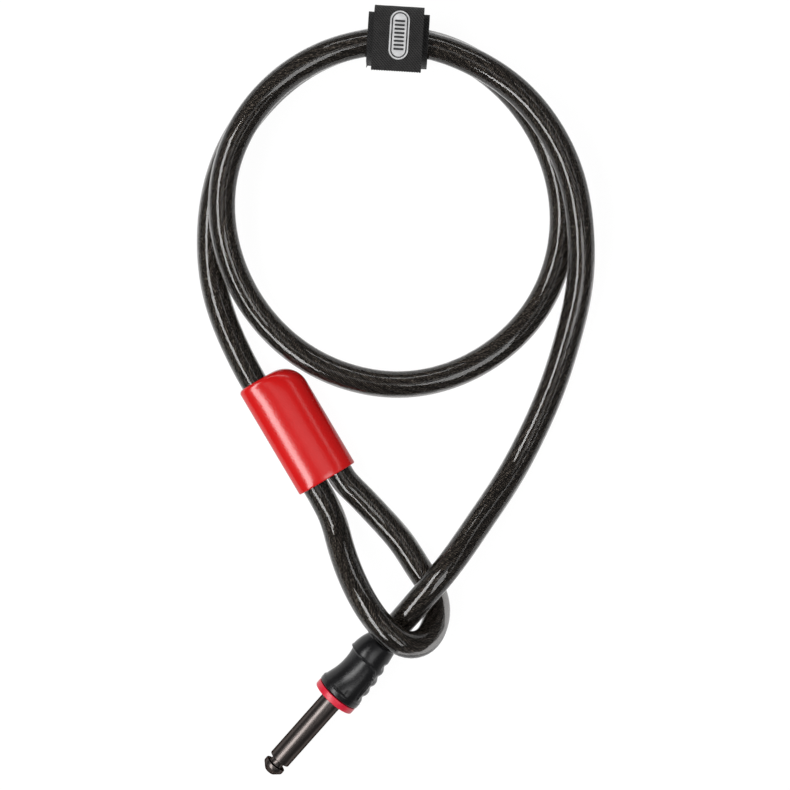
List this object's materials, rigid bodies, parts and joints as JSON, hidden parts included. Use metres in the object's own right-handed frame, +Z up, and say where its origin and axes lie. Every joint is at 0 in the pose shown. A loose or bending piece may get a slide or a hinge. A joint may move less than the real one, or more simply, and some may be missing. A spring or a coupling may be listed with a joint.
{
  "type": "loop cable with locking pin",
  "caption": "Steel rope cable in a clear jacket, with an eye and red crimp sleeve at one end and a plug-in locking pin at the other, coiled in a hook-and-loop strap.",
  "frame": {"origin": "on the surface it lies on, midway between the strap at +Y and the pin's tip at -Y, and across the box of the fittings", "axes": "+Z up from the surface; +Y from the pin's tip towards the strap; +X to the right, across the coil"},
  "size_m": [0.1763, 0.34, 0.0346],
  "materials": {
    "jacket": "smoke-clear PVC, glossy, over the rope",
    "wire_rope": "stranded steel rope, oiled",
    "red_vinyl": "glossy dipped vinyl",
    "ferrule": "pressed, bright",
    "black_nickel": "polished black nickel",
    "steel": "turned",
    "bronze": "turned",
    "boot": "satin moulded plastic",
    "ring_red": "satin moulded plastic",
    "webbing": "woven nylon",
    "hook_tape": "hook pile",
    "badge": "satin silver"
  },
  "bodies": {
    "cable": {"cable_run": "jacket", "cable_eye": "jacket", "cable_through_ferrule": "jacket", "cable_dead_end": "jacket", "eye_ferrule": "ferrule", "sleeve_cover": "red_vinyl", "boot": "boot", "boot_ring": "ring_red", "rope_socket": "steel", "rope_core": "wire_rope", "strap_band": "webbing", "strap_tail": "webbing"},
    "pin": {"lock_pin": "black_nickel", "thrust_washer": "bronze", "pin_circlip": "steel"},
    "flap": {"strap_flap": "webbing", "strap_hook_tape": "hook_tape", "strap_badge": "badge"}
  },
  "joints": [
    {"name": "pin_swivel", "type": "hinge", "parent": "cable", "child": "pin", "pos_m": [0.0007, -0.1339, 0.01015], "axis": [0.6526, 0.7481, 0.1198], "continuous": true},
    {"name": "flap_peel", "type": "hinge", "parent": "cable", "child": "flap", "pos_m": [0.02906, 0.16893, 0.0295], "axis": [-0.9981, 0.061, 0], "range_deg": [0, 150]}
  ]
}
